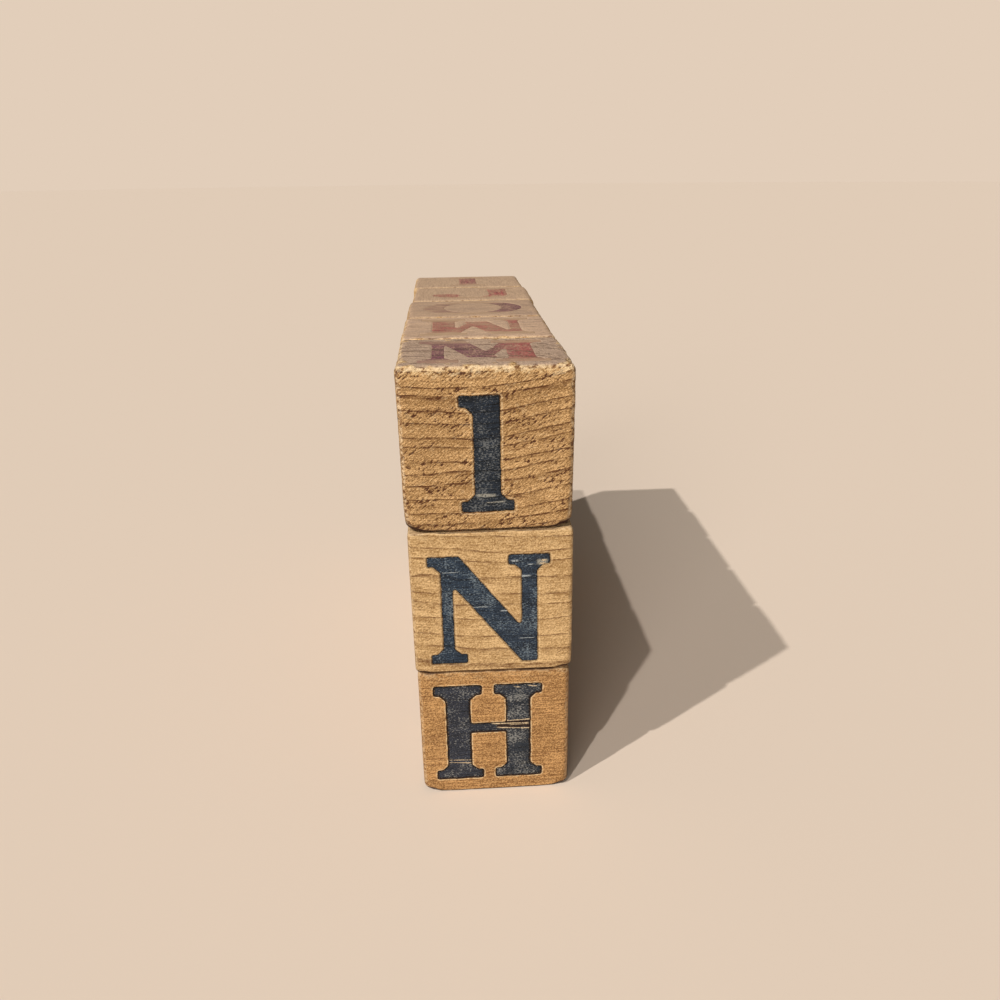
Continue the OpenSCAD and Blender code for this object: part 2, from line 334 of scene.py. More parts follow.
def outline_loops(print_node, block, face):
    """The outlines of a print's character on a face, in millimetres from the middle of the face."""
    normal, right, rise = (np.array(v, float) for v in FACES[face])
    mesh = frame["nodes"][print_node].data
    points = np.array([v.co for v in mesh.vertices]) / MM - block.centre
    flat = np.stack([points @ right, points @ rise], axis=1).round(3)
    buried = abs(normal @ block.half) - points @ normal
    edges = Counter()
    for polygon in mesh.polygons:
        depth = buried[polygon.vertices[0]]
        if np.array(polygon.normal) @ normal >= FACING and depth <= FILM_DEPTH:
            corners = [tuple(flat[i]) for i in polygon.vertices]
            edges.update(zip(corners, corners[1:] + corners[:1]))
    places = {start: end for start, end in edges if edges[start, end] > edges[end, start]}
    loops = []
    while places:
        start, here = places.popitem()
        loop = [start]
        while here != start:
            loop.append(here)
            here = places.pop(here)
        loops.append(np.array(loop))
    return [without_flat_corners(loop) for loop in loops]


def without_flat_corners(loop):
    """The loop without the points that lie on a straight run of it."""
    before, after = loop - np.roll(loop, 1, axis=0), np.roll(loop, -1, axis=0) - loop
    turn = before[:, 0] * after[:, 1] - before[:, 1] * after[:, 0]
    lengths = np.linalg.norm(before, axis=1), np.linalg.norm(after, axis=1)
    return loop[np.abs(turn) > STRAIGHT_TURN * lengths[0] * lengths[1]]


def filleted(loop):
    """The loop with a round fillet in place of each corner, wider where two strokes meet."""
    points = []
    count = len(loop)
    for i in range(count):
        before, corner, after = loop[i - 1], loop[i], loop[(i + 1) % count]
        back, ahead = before - corner, after - corner
        back_length, ahead_length = np.linalg.norm(back), np.linalg.norm(ahead)
        back, ahead = back / back_length, ahead / ahead_length
        turn = math.pi - math.acos(np.clip(back @ ahead, -1, 1))
        left_turn = back[1] * ahead[0] - back[0] * ahead[1] > 0
        radius = CONVEX_FILLET if left_turn else CONCAVE_FILLET
        reach = min(
            radius * math.tan(turn / 2), FILLET_SHARE * back_length, FILLET_SHARE * ahead_length)
        steps = max(2, int(turn / FILLET_TURN))
        for t in np.linspace(0, 1, steps + 1):
            points.append(corner + back * reach * (1 - t) ** 2 + ahead * reach * t ** 2)
    return np.array(points)


def resampled(loop, step):
    """The loop with points at even steps."""
    closed = np.vstack([loop, loop[:1]])
    run = np.concatenate([[0], np.cumsum(np.linalg.norm(np.diff(closed, axis=0), axis=1))])
    count = max(8, round(run[-1] / step))
    at = np.linspace(0, run[-1], count, endpoint=False)
    return np.stack([np.interp(at, run, closed[:, i]) for i in (0, 1)], axis=1)


def leftward(loop):
    """The way to the left of the loop at each of its points, which is into the character."""
    ahead = np.roll(loop, -1, axis=0) - np.roll(loop, 1, axis=0)
    ahead = ahead / np.linalg.norm(ahead, axis=1, keepdims=True)
    return np.stack([-ahead[:, 1], ahead[:, 0]], axis=1)


def inset(loop, amount):
    return loop + amount * leftward(loop)


def ragged(loop, block, face):
    """The loop with the small unevenness of a print on bare wood."""
    flat = np.column_stack([loop, np.full(len(loop), 7.0 * list(FACES).index(face))])
    push = RAGGED * (block.noise(flat + 5, 1.7) + 0.6 * block.noise(flat + 9, 0.8))
    return loop + push[:, None] * leftward(loop)


def signed_distance(points, loops):
    """Distance to the outline of a character, negative inside it."""
    start = np.vstack(loops).astype(np.float32)
    end = np.vstack([np.roll(loop, -1, axis=0) for loop in loops]).astype(np.float32)
    run_x, run_y = (end - start).T
    length = np.maximum(run_x ** 2 + run_y ** 2, 1e-9)
    rise = np.where(run_y == 0, 1, run_y)
    result = np.empty(len(points))
    for part in np.array_split(np.arange(len(points)), max(1, len(points) // BATCH)):
        x, y = points[part].astype(np.float32).T[:, :, None]
        off_x, off_y = x - start[:, 0], y - start[:, 1]
        share = np.clip((off_x * run_x + off_y * run_y) / length, 0, 1)
        gap = np.sqrt(((off_x - share * run_x) ** 2 + (off_y - share * run_y) ** 2).min(axis=1))
        crosses = ((y < end[:, 1]) != (y < start[:, 1])) & (off_x < off_y / rise * run_x)
        result[part] = np.where(crosses.sum(axis=1) % 2 == 1, -gap, gap)
    return result


def triangulate(points, gaps, loops, wall):
    """Triangles over a face with the outline of its character and the foot of the outline's
    sloping wall among their edges, and each point's distance to the outline."""
    coords = [Vector(p) for p in points]
    gaps = list(gaps)
    edges = []
    for gap, lines in ((0, loops), (-wall, [inset(loop, wall) for loop in loops])):
        for line in lines:
            first = len(coords)
            coords += [Vector(p) for p in line]
            count = len(line)
            gaps += [gap] * count
            edges += [(first + i, first + (i + 1) % count) for i in range(count)]
    made, _, faces, sources, *_ = delaunay_2d_cdt(coords, edges, [], 0, MERGED)
    gaps = np.array([gaps[source[0]] if source else 0 for source in sources])
    return np.array([tuple(v) for v in made]), np.array([tuple(f) for f in faces]), gaps


# Meshes

def axis_places(half, step):
    """Where rows of points cross an axis of a face: close together by the borders, even between."""
    inner = half - EDGE_ROWS[-1]
    count = round(2 * inner / step)
    even = np.linspace(-inner, inner, count + 1)
    border = half - np.array(EDGE_ROWS[:-1])
    return np.concatenate([-border, even, border[::-1]])


def crossings(across, up):
    return np.array(list(itertools.product(across, up)))


def to_border(grid, sizes):
    """How far points of a face are from its nearest border."""
    return (np.array(sizes) - np.abs(grid)).min(axis=1)


def face_points(block, face, loops, wall, inside=False):
    """The points of a face that are clear of its character's outline, and their distance to it."""
    sizes = block.face_size(face)
    edge_step = FINE_STEP if block.fine else PLAIN_STEP
    grid = crossings(*(axis_places(half, edge_step) for half in sizes))
    border = to_border(grid, sizes)
    if block.fine and face not in ("front", "top"):
        # The middle of a face that the photograph doesn't show needs fewer points
        inner = [half - EDGE_ROWS[-1] for half in sizes]
        rows = [np.linspace(-half, half, round(2 * half / PLAIN_STEP) + 1) for half in inner]
        middle = crossings(*rows)
        grid = np.vstack([grid[border < EDGE_ROWS[-1] - ON_BORDER], middle])
        border = to_border(grid, sizes)
    if inside:
        outline = np.vstack(loops)
        within = ((grid > outline.min(axis=0)) & (grid < outline.max(axis=0))).all(axis=1)
        grid, border = grid[within], border[within]
    gaps = signed_distance(grid, loops)
    clear = np.minimum(np.abs(gaps), np.abs(gaps + wall)) > OUTLINE_CLEARANCE
    keep = clear & (gaps < 0) if inside else clear | (border < ON_BORDER)
    return grid[keep], gaps[keep]


def new_object(name, block, points, faces, attributes, uvs, material):
    """A piece that rides with its block, with three numbers per point under each label."""
    mesh = bpy.data.meshes.new(name)
    mesh.from_pydata(((points + block.centre) * MM).tolist(), [], faces.tolist())
    mesh.polygons.foreach_set("use_smooth", np.ones(len(faces), bool))
    for label, values in attributes.items():
        layer = mesh.attributes.new(label, "FLOAT_VECTOR", "POINT")
        layer.data.foreach_set("vector", np.ascontiguousarray(values, np.float32).ravel())
    layer = mesh.uv_layers.new(name="OFBake")
    layer.data.foreach_set("uv", np.ascontiguousarray(uvs, np.float32).ravel())
    mesh.materials.append(material)
    piece = bpy.data.objects.new(name, mesh)
    bpy.context.scene.collection.objects.link(piece)
    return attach(piece, block.body)


def face_cell(face, flat, sizes):
    """A place on the flat map that holds the six faces in three columns and two rows."""
    number = list(FACES).index(face)
    share = flat / sizes * (0.5 - CELL_MARGIN) + 0.5
    return (share + (number % 3, number // 3)) / (3, 2)


def press_share(face):
    """How much of a character's depth is left: the tops are worn almost level with theirs."""
    return 0.4 if face == "top" else 1.0


def painted_seam_shade(block, cube, normal):
    """Painted shade along the edges that lie against another block or the floor."""
    rise = 0 * normal[:, 2] if block.top else normal[:, 2]
    over = smooth_step(rise, 0.45, 0.75) * (1 - smooth_step(rise, 0.985, 0.999))
    over = over * (1 - smooth_step(np.abs(cube[:, 0]), block.half[0] - 4, block.half[0] - 1))
    under = smooth_step(-normal[:, 2], 0.12, 0.5) * (1 - smooth_step(-normal[:, 2], 0.96, 0.995))
    over = over * (0.7 if block.fine else 0.25) * np.clip(0.75 + block.noise(cube + 50, 4.0), 0, 1)
    return over + under


def wood_attributes(block, cube, normal, press):
    """What the finish of the wood reads: three numbers per point under each label."""
    style = block.style
    ones = np.ones(len(cube))
    # Rim sets the painted shade on a character's pressed rim, and halo the painted highlight just
    # outside it
    weather, rim, halo_highlight, shade = (style[fact] * ones for fact in ("weather", "rim", "halo_highlight", "shade"))
    edge = smooth_step(1 - np.abs(normal).max(axis=1), 0, 0.25)
    border = (block.half - np.abs(cube))[:, :2].min(axis=1)
    border = border - 4.5 * style["weather"] * np.clip(block.noise(cube + 130, 2.6), 0, 1)
    upness = smooth_step(normal[:, 2], 0.5, 0.95) * smooth_step(border, -0.3, 0.9) * style["grey"]
    head = smooth_step(cube[:, 2], block.half[2] - HEAD_BAND, block.half[2] - 1)
    length = block.half[block.lengthwise]
    end = smooth_step(np.abs(cube[:, block.lengthwise]), length - END_BAND, length)
    return {
        "grain": block.grain(cube),
        "wear": np.stack([edge, weather, upness], axis=1),
        "timber": block.timber(len(cube)),
        "press": np.stack([np.clip(press, -2, 3), rim, halo_highlight], axis=1),
        "shade": np.stack([shade, end, head], axis=1),
        # Painted shade in the seams between blocks and along the floor
        "seam_shade": np.outer(painted_seam_shade(block, cube, normal), (1, 0, 0)),
    }


def make_block(block, outlines, material):
    """The wooden piece, with the hollows of its characters."""
    all_points, all_faces, all_uvs, all_press, all_depths = [], [], [], [], []
    total = 0
    for face, loops in outlines.items():
        clear = face_points(block, face, loops, PRESS_WALL)
        flat, faces, gap = triangulate(*clear, loops, PRESS_WALL)
        cube = block.cube_point(face, flat[:, 0], flat[:, 1])
        all_points.append(cube)
        all_press.append(gap)
        all_depths.append(PRESS_DEPTH * press_share(face) * smooth_step(-gap, 0, PRESS_WALL))
        all_faces.append(faces + total)
        all_uvs.append(face_cell(face, flat, block.face_size(face))[faces.ravel()])
        total += len(flat)
    cube, faces, uvs = np.vstack(all_points), np.vstack(all_faces), np.vstack(all_uvs)
    press, depth = np.concatenate(all_press), np.concatenate(all_depths)
    _, keep, where = np.unique((cube * WELD_STEPS).round().astype(int), axis=0,
                               return_index=True, return_inverse=True)
    cube, press, depth, faces = cube[keep], press[keep], depth[keep], where.ravel()[faces]
    points, normal = block.surface(cube, depth)
    attributes = wood_attributes(block, cube, normal, press)
    piece = new_object(block.name + "_wood", block, points, faces, attributes, uvs, material)
    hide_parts(block.name)


def closed_film(faces, count):
    """The faces of a film, of its underside and of the walls between, where each point of the film
    has a partner under it that comes count places later."""
    sides = {}
    for a, b, c in faces:
        for edge in ((a, b), (b, c), (c, a)):
            sides[edge] = True
    rim = [edge for edge in sides if edge[::-1] not in sides]
    walls = [(b, a, a + count) for a, b in rim] + [(b, a + count, b + count) for a, b in rim]
    return np.vstack([faces, faces[:, ::-1] + count, np.array(walls)])


def film_cells(face, flat, sizes, solid, shown):
    """Places on the flat map: the film's own, and a spot in a corner for what no one sees of it."""
    seen = face_cell(face, flat, sizes)
    spot = face_cell(face, SPOT_SCALE * flat - SPOT_AT * np.array(sizes), sizes)
    count = len(flat)
    own = np.arange(len(solid))[:, None] < shown
    return np.vstack([seen, spot])[np.where(own, solid, solid % count + count).ravel()]


def make_ink(block, node, outlines, material):
    """The ink on the floors of some of the characters: thin closed films with sloping edges."""
    style = block.style
    lists = {key: [] for key in ("points", "faces", "grain", "ink", "place", "timber", "uvs")}
    total = 0
    for face, loops in outlines.items():
        loops = [inset(loop, INK_INSET + style["gap"]) for loop in loops]
        clear = face_points(block, face, loops, INK_SLOPE, inside=True)
        flat, faces, gap = triangulate(*clear, loops, INK_SLOPE)
        flush = (gap[faces] == 0).all(axis=1)
        outside = np.zeros(len(faces), bool)
        outside[flush] = signed_distance(flat[faces[flush]].mean(axis=1), loops) > 0
        used, faces = np.unique(faces[~outside], return_inverse=True)
        flat, gap, faces = flat[used], gap[used], faces.reshape(-1, 3)
        cube = block.cube_point(face, flat[:, 0], flat[:, 1])
        lift = INK_EDGE + (1 - INK_EDGE) * smooth_step(-gap, 0, INK_SLOPE)
        share = press_share(face)
        top, _ = block.surface(cube, share * (INK_BED - (INK_BED - INK_TOP) * lift))
        bed, _ = block.surface(cube, share * INK_BED)
        count = len(flat)
        solid = closed_film(faces, count)
        lists["points"].append(np.vstack([top, bed]))
        lists["faces"].append(solid + total)
        total += 2 * count
        shift, width = style["purple"]
        purple = smooth_step((flat[:, 0] - shift) / width, -1, 1)
        fade = style["fade"] * np.ones(count)
        if face == "top":
            fade = style["top_fade"] + style["fade_slope"] * flat[:, 0]
        place = np.column_stack([flat, np.full(count, face == "front")])
        lists["grain"].append(np.tile(block.grain(cube), (2, 1)))
        lists["ink"].append(np.tile(np.stack([gap, fade, purple], axis=1), (2, 1)))
        lists["place"].append(np.tile(place, (2, 1)))
        lists["timber"].append(block.timber(2 * count))
        lists["uvs"].append(film_cells(face, flat, block.face_size(face), solid, len(faces)))
    joined = {key: np.vstack(value) for key, value in lists.items()}
    points, faces, uvs = (joined.pop(key) for key in ("points", "faces", "uvs"))
    piece = new_object(node + "_film", block, points, faces, joined, uvs, material)
    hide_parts(node)


# Materials

def srgb(red, green, blue):
    """A colour as a screen shows it, from 0 to 255, in the linear values of a shader."""
    def linear(level):
        level = level / 255
        return level / 12.92 if level <= 0.04045 else ((level + 0.055) / 1.055) ** 2.4
    return (linear(red), linear(green), linear(blue), 1)


class Value:
    """A number, colour or vector on its way through the nodes of a finish."""

    def __init__(self, finish, socket):
        self.finish = finish
        self.socket = socket

    def math(self, operation, first, second=0.0):
        return self.finish.add("ShaderNodeMath", {"operation": operation}, {0: first, 1: second})

    def __add__(self, other):
        return self.math("ADD", self, other)

    def __sub__(self, other):
        return self.math("SUBTRACT", self, other)

    def __mul__(self, other):
        return self.math("MULTIPLY", self, other)

    def __truediv__(self, other):
        return self.math("DIVIDE", self, other)

    def __rsub__(self, other):
        return self.math("SUBTRACT", other, self)

    __radd__ = __add__
    __rmul__ = __mul__

    def fraction(self):
        return self.math("FRACT", self)

    def size(self):
        return self.math("ABSOLUTE", self)


class Finish:
    """One material. Every node that isn't plain arithmetic comes from add()."""

    def __init__(self, owner):
        owner.use_nodes = True
        self.owner = owner
        self.tree = owner.node_tree
        self.tree.nodes.clear()

    def add(self, kind, settings=None, sockets=None, output=0):
        node = self.tree.nodes.new(kind)
        for key, setting in (settings or {}).items():
            setattr(node, key, setting)
        for key, value in (sockets or {}).items():
            if isinstance(key, int):
                socket = node.inputs[key]
            else:
                socket = next(s for s in node.inputs if key in (s.identifier, s.name))
            if isinstance(value, Value):
                self.tree.links.new(value.socket, socket)
            else:
                socket.default_value = value
        outlet = node.outputs[output] if node.outputs else None
        return Value(self, outlet)

    def attribute(self, name):
        """The three numbers that a piece's mesh holds under a name."""
        vector = self.add("ShaderNodeAttribute", {"attribute_name": name}, output="Vector")
        split = self.add("ShaderNodeSeparateXYZ", sockets={"Vector": vector})
        return [Value(self, outlet) for outlet in split.socket.node.outputs]

    def millimetres(self):
        place = self.add("ShaderNodeTexCoord", output="Object")
        return self.scaled(place, (1 / MM, 1 / MM, 1 / MM))

    def vector(self, x, y, z):
        return self.add("ShaderNodeCombineXYZ", sockets={"X": x, "Y": y, "Z": z})

    def scaled(self, vector, factors):
        return self.add("ShaderNodeVectorMath", {"operation": "MULTIPLY"}, {0: vector, 1: factors})

    def noise(self, vector, size, detail=2.0, roughness=0.5):
        """Noise whose blotches are about size long, along each axis of the vector."""
        scaled = self.scaled(vector, tuple(1 / s for s in size))
        return self.add(
            "ShaderNodeTexNoise", None,
            {"Vector": scaled, "Scale": 1.0, "Detail": detail, "Roughness": roughness})

    def step(self, value, low, high):
        """0 below low, 1 above high, and smooth between. Low may be the higher one."""
        return self.add(
            "ShaderNodeMapRange", {"interpolation_type": "SMOOTHSTEP"},
            {"Value": value, "From Min": low, "From Max": high, "To Min": 0.0, "To Max": 1.0})

    def mix(self, share, first, second):
        """From the first colour to the second."""
        return self.add(
            "ShaderNodeMix", {"data_type": "RGBA", "clamp_factor": True},
            {"Factor_Float": share, "A_Color": first, "B_Color": second}, output=2)

    def tinted(self, colour, level):
        """The colour, lighter or darker by a level that varies over the surface."""
        return self.add("ShaderNodeVectorMath", {"operation": "SCALE"}, {0: colour, "Scale": level})

    def finish(self, colour, roughness, height, relief, gloss):
        """The material, with relief as the height in metres that a height of 1 stands for."""
        normal = self.add(
            "ShaderNodeBump", None, {"Height": height, "Distance": relief, "Strength": 1.0})
        shader = self.add("ShaderNodeBsdfPrincipled", None, {
            "Base Color": colour, "Roughness": roughness, "Normal": normal,
            "Specular IOR Level": gloss})
        self.add("ShaderNodeOutputMaterial", None, {"Surface": shader})
        return self.owner


class Board:
    """The make-up of the wood at each point of a surface, which shows through the ink too."""

    def __init__(self, finish):
        self.place = finish.millimetres()
        self.along, self.reach, self.across = finish.attribute("grain")
        self.tone, self.lines, spacing = finish.attribute("timber")
        years = self.reach / spacing
        slow = finish.vector(self.along * 0.003, years * 0.9, self.across * 0.01)
        uneven = finish.add(
            "ShaderNodeTexNoise", None, {"Vector": slow, "Scale": 1.0, "Detail": 1.0})
        drift = finish.noise(self.place, (17, 17, 8), 2)
        fray = finish.noise(self.place, (3.0, 3.0, 0.9), 3, 0.6)
        year = (years + uneven * 1.1 + drift * 0.5 + fray * 0.1).fraction()
        self.band = finish.step(year, 0.25, 0.95) * finish.step(year, 1.0, 0.93)
        self.line = finish.step(year, 0.78, 0.94) * finish.step(year, 1.0, 0.96)
        self.fibres = self.streaks(finish, 7, 0.34, 0.6)
        self.hairs = finish.step(self.streaks(finish, 13, 0.55, 0.45), 0.59, 0.68)
        self.specks = finish.noise(self.place, (0.5, 0.5, 0.4), 2, 0.65)
        self.blotch = finish.noise(self.place, (11, 11, 6), 3)

    def streaks(self, finish, length, width, roughness):
        """Noise drawn out along the fibres."""
        stretched = finish.vector(
            self.along * (1 / length), self.reach * (1 / width), self.across * (1 / width))
        return finish.add(
            "ShaderNodeTexNoise", None,
            {"Vector": stretched, "Scale": 1.0, "Detail": 3.0, "Roughness": roughness})


def pine():
    """Old pine, from yellow to brown with its tone. What has greyed lies on top."""
    finish = Finish(bpy.data.materials.new("aged_pine"))
    board = Board(finish)
    edge, weather, upness = finish.attribute("wear")
    press, rim, halo_highlight = finish.attribute("press")
    shade, end, head = finish.attribute("shade")
    seam_shade_mask = finish.attribute("seam_shade")[0]

    light = finish.mix(board.tone, srgb(234, 200, 148), srgb(216, 164, 104))
    dark = finish.mix(board.tone, srgb(162, 126, 78), srgb(130, 90, 46))
    level = 0.5 + (board.fibres - 0.5) * 1.7 + (board.blotch - 0.5) * 0.9
    level = level + (board.specks - 0.5) * (2.7 + board.tone * 1.5)
    level = level - board.band * board.lines * 0.24
    wood = finish.mix(level, dark, light)
    wood = finish.mix(board.hairs * (0.2 + board.tone * 0.45), wood, srgb(112, 70, 36))
    broken = finish.step(finish.noise(board.place, (6, 6, 1.2), 3, 0.7), 0.38, 0.6)
    late = board.line * board.lines * (0.15 + broken)
    wood = finish.mix(late, wood, srgb(98, 58, 26))

    # Short dashes of painted shade where the fibres are torn out, and pale chips between them
    turned = finish.add(
        "ShaderNodeVectorRotate", {"rotation_type": "Y_AXIS"},
        {"Vector": board.place, "Angle": SAW_SLANT})
    torn = finish.noise(turned, (2.0, 0.62, 0.62), 2, 0.6)
    zones = finish.step(finish.noise(board.place, (9, 9, 3.2), 2), 0.42, 0.58)
    rough = weather * (0.2 + zones * 0.8) + 0.04
    pit_shade = finish.step(torn + zones * 0.06 + board.band * 0.05, 0.61, 0.68) * rough
    chips = finish.step(torn - head * 0.09, 0.41, 0.32) * weather * (0.5 + head * 0.5)
    wood = finish.mix(chips * 0.8, wood, srgb(232, 200, 150))
    # Painted shade in the small hollows where fibres are torn out
    wood = finish.mix(pit_shade, wood, srgb(84, 46, 22))
    bits = finish.step(finish.noise(board.place, (3.4, 3.4, 1.8), 3, 0.6) + head * 0.1, 0.62, 0.68)
    bits = bits * weather * (1.0 - upness) * (0.14 + head * 0.4)
    wood = finish.mix(bits, wood, srgb(242, 216, 172))
    wood = finish.tinted(wood, 1.0 - end * 0.2)

    # Tops have greyed and cracked along the grain
    cracks = board.streaks(finish, 9, 0.8, 0.6)
    greyness = board.fibres * 0.7 + board.specks * 0.4 - 0.05
    grey = finish.mix(greyness, srgb(154, 128, 112), srgb(206, 180, 158))
    wood = finish.mix(upness * (0.66 + weather * 0.2), wood, grey)
    crack = finish.step(cracks, 0.54, 0.64) * upness * (0.1 + weather * 0.68)
    wood = finish.mix(crack, wood, srgb(104, 78, 62))

    # Edges are rubbed pale, with dirt in their knocks and painted shade in the seams between blocks
    rubbed = finish.noise(board.place, (1.5, 1.5, 1.0), 4, 0.65)
    pale = finish.step(edge, 0.05, 0.9) * finish.step(rubbed, 0.40, 0.64) * (0.3 + weather * 0.45)
    wood = finish.mix(pale, wood, srgb(238, 210, 170))
    grime = finish.step(edge, 0.1, 0.9) * finish.step(rubbed, 0.48, 0.36) * (0.35 + weather * 0.5)
    wood = finish.mix(grime, wood, srgb(104, 62, 34))
    # Painted shade in the seams where blocks meet each other and the floor
    wood = finish.mix(seam_shade_mask * (0.7 + board.fibres), wood, srgb(58, 29, 17))

    # Painted shade on the pressed rim of a character, and a painted highlight on the wood just
    # outside it
    rim_highlight = finish.step(press, 0.75, 0.4) * finish.step(press, 0.05, 0.2) * halo_highlight * (1 - upness)
    wood = finish.mix(rim_highlight * finish.step(rubbed, 0.40, 0.56), wood, srgb(238, 208, 162))
    rim_shade = finish.step(press, 0.25, 0.1) * finish.step(press, -0.4, -0.2) * rim * (1 - upness)
    wood = finish.mix(rim_shade * (0.55 + board.fibres), wood, srgb(40, 24, 16))
    wood = finish.tinted(wood, shade)

    height = board.fibres * 0.5 + board.specks * 0.4 - late * 0.5
    height = height + torn * weather * -3.0 - crack * 0.6
    return finish.finish(wood, 0.72 + board.fibres * 0.14, height, 0.00022, 0.3)


# How much darker the outline of a dark print is, as painted shade of the pressed groove at the edge
# of the ink
OUTLINE_SHADE = 0.65

# Where the inks of the front blocks are scratched, in millimetres from the middle of the face. A
# mark has a colour, left and right ends, a height, a slope and half a thickness. A scuff has the
# same but no colour
DUSTY, PALE, CUT = srgb(150, 148, 138), srgb(170, 178, 182), srgb(216, 192, 156)
DIRT = srgb(40, 22, 14)
MARKS_1 = [(DUSTY, -4.2, 2.6, -14.0, -0.03, 0.6), (DUSTY, -1.2, 5.4, -16.4, 0.05, 0.3)]
SCUFFS_1 = [
    (-3.6, 0.4, 8.2, 0.6, 1.2), (-3.0, 1.6, 6.1, 0.2, 1.0), (-3.4, 3.6, 2.2, 0.1, 1.8),
    (-3.4, 3.0, -1.6, 0.0, 1.4), (-4.0, 4.0, -14.6, 0.0, 1.2), (-3.0, 6.0, -17.0, 0.1, 1.2)]
MARKS_N = [
    (PALE, -16.2, -10.0, 11.7, 0.0, 0.18), (PALE, -7.2, -1.0, -1.1, 0.0, 0.2),
    (PALE, 2.0, 6.6, -2.8, 0.0, 0.22), (PALE, 8.8, 12.6, 9.6, 0.0, 0.36),
    (PALE, 7.8, 13.8, -13.3, 0.0, 0.15), (PALE, 10.8, 13.6, 13.6, 0.0, 0.24),
    (PALE, 5.6, 8.8, 15.0, 0.0, 0.45), (DUSTY, 13.6, 18.0, 14.3, 0.0, 1.2),
    (CUT, 15.0, 17.6, 14.9, 0.0, 0.34), (CUT, 14.6, 17.2, 13.8, 0.0, 0.3),
    (PALE, -13.4, -10.6, 1.0, 0.1, 0.2), (PALE, -13.6, -11.2, -3.2, 0.0, 0.3),
    (PALE, -13.2, -10.8, -9.8, 0.05, 0.22)]
SCUFFS_N = [
    (-7.5, 1.5, -0.9, -1.38, 4.0), (11.6, 17.0, -3.0, 0.0, 12.0), (-16.0, -9.0, 0.0, 0.0, 8.0)]
MARKS_H = [
    (DIRT, 0.0, 12.6, 3.2, -0.02, 1.8), (CUT, -5.0, 13.0, 4.55, 0.03, 0.22),
    (CUT, -1.5, 12.0, 3.55, -0.02, 0.28), (CUT, 0.2, 12.8, 1.9, -0.07, 0.26),
    (CUT, 4.0, 12.0, 2.7, 0.02, 0.13), (CUT, -17.4, -7.8, -12.1, -0.036, 0.14),
    (CUT, -17.4, -7.0, -13.9, -0.085, 0.15), (CUT, 6.0, 9.2, 20.1, -0.18, 0.18),
    (CUT, 10.8, 15.0, 20.3, -0.11, 0.18)]
SCUFFS_H = [
    (3.6, 11.2, 7.6, 0.2, 3.0), (-11.4, -7.6, 5.9, 0.0, 1.2),
    (3.6, 11.6, -4.0, 0.3, 5.0), (3.0, 12.0, 14.0, 0.0, 2.0)]


def ink(name, first, second, fleck, outline=0.0, marks=(), scuffs=()):
    """Old printing ink, from the first colour to the second across the character, with painted
    shade along its outline that darkens it by a share. Marks are scratches in it, and scuffs are
    places with more flecks."""
    finish = Finish(bpy.data.materials.new(name))
    board = Board(finish)
    gap, fade, drift = finish.attribute("ink")
    across, up, front = finish.attribute("place")

    colour = finish.mix(drift, first, second)
    level = 1 + (board.fibres - 0.5) * 3.0 + (board.specks - 0.5) * 4.4
    level = level + (board.blotch - 0.5) * 0.6
    colour = finish.tinted(colour, level)
    colour = finish.tinted(colour, 1.0 - board.line * board.lines * 0.6)
    # Painted shade of the pressed groove along the edge of the ink
    colour = finish.tinted(colour, 1.0 - finish.step(gap, -0.5, -0.2) * outline)

    # Flecks where the ink has come off the tops of the fibres
    rough = finish.noise(board.place, (0.8, 0.8, 0.4), 3, 0.7)
    zones = finish.noise(board.place, (7, 7, 5), 3)
    spread = zones * 0.35
    for left, right, height, slope, thick in scuffs:
        away = (up - (across * slope + height)).size()
        scuff = finish.step(across, right, right - 1.5) * front * 0.055
        near = finish.step(away, thick, thick * 0.4)
        spread = spread + near * finish.step(across, left, left + 1.5) * scuff
    flecks = finish.step(rough + spread, 0.73, 0.81)
    colour = finish.mix(flecks * 0.8, colour, fleck)
    bare = finish.mix(board.fibres, srgb(150, 122, 99), srgb(194, 163, 131))
    ends = finish.step(up.size(), 8.5, 12.5) * finish.step(fade, 0.15, 0.3) * 0.6
    streaks = board.streaks(finish, 10, 0.9, 0.6)
    worn = fade * (0.55 + board.fibres * 0.7 + (zones - 0.5) * 1.2 + (streaks - 0.5) * 2.2) + ends
    colour = finish.mix(worn, colour, bare)
    ragged_edge = finish.step(gap, -0.4, 0.0) * finish.step(rough, 0.52, 0.62)
    colour = finish.mix(ragged_edge * 0.6, colour, srgb(176, 140, 98))
    for tint, left, right, height, slope, thick in marks:
        wobble = (board.fibres - 0.5) * 0.7 + (rough - 0.5) * 0.4
        line = (up - (across * slope + height) + wobble).size()
        mark = finish.step(line, thick, thick * 0.6) * finish.step(across, left, left + 1.2)
        mark = mark * finish.step(across, right, right - 1.2) * finish.step(board.specks, 0.36, 0.5)
        colour = finish.mix(mark * front, colour, tint)

    height = board.fibres * 0.6 + board.specks * 0.5 - board.line * board.lines * 0.3 + rough * 0.6
    return finish.finish(colour, 0.62 + board.fibres * 0.2, height, 0.00014, 0.25)


# Stage, light and camera

STAGE_RADIUS = 12
STAGE_SIDES = 96
PAPER = srgb(221, 205, 189)
BACKDROP = srgb(226, 206, 186)
AIR_LIGHT = srgb(250, 239, 226)
AIR_STRENGTH = 0.14
# Each lamp's azimuth, elevation, strength, softness in degrees, and colour
LAMPS = {
    "window_lamp": (-56.7, 47.7, 2.05, 0.8, srgb(255, 251, 246)),
    "ceiling_lamp": (-33.7, 58.1, 1.1, 0.9, srgb(255, 251, 246)),
    "front_lamp": (-22, 22, 1.0, 30, srgb(255, 249, 242)),
}


def make_stage():
    """A floor of pale paper."""
    bpy.ops.mesh.primitive_circle_add(vertices=STAGE_SIDES, radius=STAGE_RADIUS, fill_type="NGON")
    floor = bpy.context.object
    floor.name = "studio_floor"
    finish = Finish(bpy.data.materials.new("studio_paper"))
    shader = finish.add("ShaderNodeBsdfDiffuse", None, {"Color": PAPER})
    finish.add("ShaderNodeOutputMaterial", None, {"Surface": shader})
    floor.data.materials.append(finish.owner)


